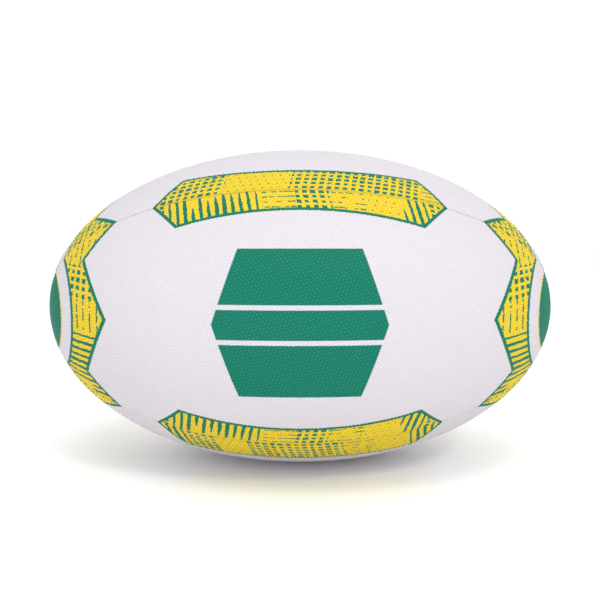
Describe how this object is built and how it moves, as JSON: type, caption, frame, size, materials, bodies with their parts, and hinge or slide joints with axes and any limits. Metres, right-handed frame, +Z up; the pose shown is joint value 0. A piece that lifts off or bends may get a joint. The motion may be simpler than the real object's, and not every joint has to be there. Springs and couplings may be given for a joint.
{
  "type": "rugby ball",
  "caption": "Inflated prolate ball of stitched, pimpled rubber panels on cloth plies over a bladder with a needle valve.",
  "frame": {"origin": "centre of the ball", "axes": "+X along the ball's length, +Z up through the valve in the top panel, -Y out of the front panel"},
  "size_m": [0.298, 0.185, 0.185],
  "materials": {
    "grip_rubber": "pimpled, matt",
    "backing_cloth": "woven, glued",
    "seam_thread": "waxed",
    "patch_rubber": "matt",
    "bladder_rubber": "satin",
    "valve_rubber": "satin",
    "core_rubber": "satin"
  },
  "bodies": {
    "root": {"top_grip_skin": "grip_rubber", "top_outer_ply": "backing_cloth", "top_middle_ply": "backing_cloth", "top_inner_ply": "backing_cloth", "front_grip_skin": "grip_rubber", "front_outer_ply": "backing_cloth", "front_middle_ply": "backing_cloth", "front_inner_ply": "backing_cloth", "bottom_grip_skin": "grip_rubber", "bottom_outer_ply": "backing_cloth", "bottom_middle_ply": "backing_cloth", "bottom_inner_ply": "backing_cloth", "back_grip_skin": "grip_rubber", "back_outer_ply": "backing_cloth", "back_middle_ply": "backing_cloth", "back_inner_ply": "backing_cloth", "top_back_seam_thread": "seam_thread", "front_top_seam_thread": "seam_thread", "bottom_front_seam_thread": "seam_thread", "back_bottom_seam_thread": "seam_thread", "valve_hole_patch": "patch_rubber", "bladder": "bladder_rubber", "valve_body": "valve_rubber", "valve_core": "core_rubber"}
  },
  "joints": []
}
